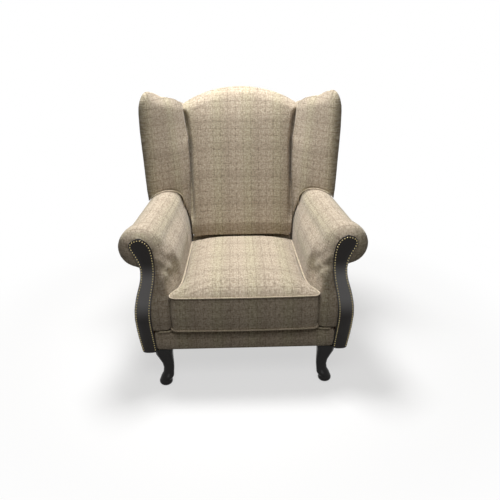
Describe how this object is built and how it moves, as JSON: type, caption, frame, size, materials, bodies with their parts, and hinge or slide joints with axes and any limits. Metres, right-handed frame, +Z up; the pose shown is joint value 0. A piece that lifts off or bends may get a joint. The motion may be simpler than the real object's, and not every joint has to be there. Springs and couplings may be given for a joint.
{
  "type": "wingback recliner",
  "caption": "Wing chair with scroll arms, leather facings, T-shaped box cushion and cabriole legs; the back and wings recline while the seat glides and the front band swings out as a footrest.",
  "frame": {"origin": "on the floor, under the middle of the chair's overall length and width", "axes": "+Z up, the chair faces -Y, +X is the viewer's right seen from the front"},
  "size_m": [0.9238, 0.8111, 1.0967],
  "materials": {
    "tweed": "woven beige and taupe checked tweed",
    "tweed_outer": "the same tweed over board",
    "platform_cloth": "dark platform cloth",
    "leather": "dark brown leather, satin",
    "beech": "sanded, unfinished",
    "plywood": "raw plywood",
    "leg_wood": "near-black polished stain",
    "mechanism_steel": "black stoved pressed steel",
    "zinc_steel": "zinc plated"
  },
  "bodies": {
    "base": {"arm_pad_left": "tweed", "arm_pad_right": "tweed", "arm_outer_panel_left": "tweed_outer", "arm_outer_panel_right": "tweed_outer", "arm_rear_cover_left": "tweed_outer", "arm_rear_cover_right": "tweed_outer", "arm_facing_left": "leather", "arm_facing_right": "leather", "front_post_left": "beech", "front_post_right": "beech", "rear_post_left": "beech", "rear_post_right": "beech", "side_rail_left": "beech", "side_rail_right": "beech", "arm_rail_left": "beech", "arm_rail_right": "beech", "front_leg_left": "leg_wood", "front_leg_right": "leg_wood", "rear_leg_left": "leg_wood", "rear_leg_right": "leg_wood", "slide_channel_left": "zinc_steel", "slide_channel_right": "zinc_steel", "mid_stretcher": "beech", "rear_stretcher": "beech", "rear_apron": "tweed_outer"},
    "seat": {"seat_side_rail_left": "beech", "seat_side_rail_right": "beech", "seat_plate_left": "mechanism_steel", "seat_plate_right": "mechanism_steel", "seat_front_rail": "beech", "seat_rear_rail": "beech", "seat_spring_1": "zinc_steel", "seat_spring_2": "zinc_steel", "seat_spring_3": "zinc_steel", "seat_deck": "platform_cloth", "seat_cushion": "tweed"},
    "back": {"wing_pad_left": "tweed", "wing_pad_right": "tweed", "wing_outer_panel_left": "tweed_outer", "wing_outer_panel_right": "tweed_outer", "wing_board_left": "plywood", "wing_board_right": "plywood", "back_stile_left": "beech", "back_stile_right": "beech", "back_pad": "tweed", "back_lower_rail": "beech", "back_top_rail": "beech", "back_spring_1": "zinc_steel", "back_spring_2": "zinc_steel", "back_spring_3": "zinc_steel", "outside_back": "tweed_outer"},
    "rear_links": {"rear_link_left": "mechanism_steel", "rear_link_right": "mechanism_steel"},
    "front_links": {"front_link_left": "mechanism_steel", "front_link_right": "mechanism_steel"},
    "footrest": {"footrest_bracket_left": "mechanism_steel", "footrest_bracket_right": "mechanism_steel", "footrest_board": "plywood", "footrest_pad": "tweed"}
  },
  "joints": [
    {"name": "seat_glide", "type": "slide", "parent": "base", "child": "seat", "axis": [0, -1, 0], "range_m": [0, 0.07]},
    {"name": "back_recline", "type": "hinge", "parent": "seat", "child": "back", "pos_m": [0, 0.262, 0.33], "axis": [-1, 0, 0], "range_deg": [0, 28]},
    {"name": "rear_link_swing", "type": "hinge", "parent": "seat", "child": "rear_links", "pos_m": [0, -0.172, 0.1995], "axis": [-1, 0, 0], "range_deg": [0, 95]},
    {"name": "front_link_swing", "type": "hinge", "parent": "rear_links", "child": "front_links", "pos_m": [0, -0.18141, 0.09191], "axis": [-1, 0, 0], "range_deg": [-118, 0]},
    {"name": "footrest_tilt", "type": "hinge", "parent": "front_links", "child": "footrest", "pos_m": [0, -0.327, 0.22801], "axis": [-1, 0, 0], "range_deg": [0, 108]}
  ],
  "couplings": [
    {"joint": "seat_glide", "follows": "back_recline", "m_per_rad": 0.14324},
    {"joint": "rear_link_swing", "follows": "back_recline", "ratio": 3.3929},
    {"joint": "front_link_swing", "follows": "back_recline", "ratio": -4.2143},
    {"joint": "footrest_tilt", "follows": "back_recline", "ratio": 3.8571}
  ]
}
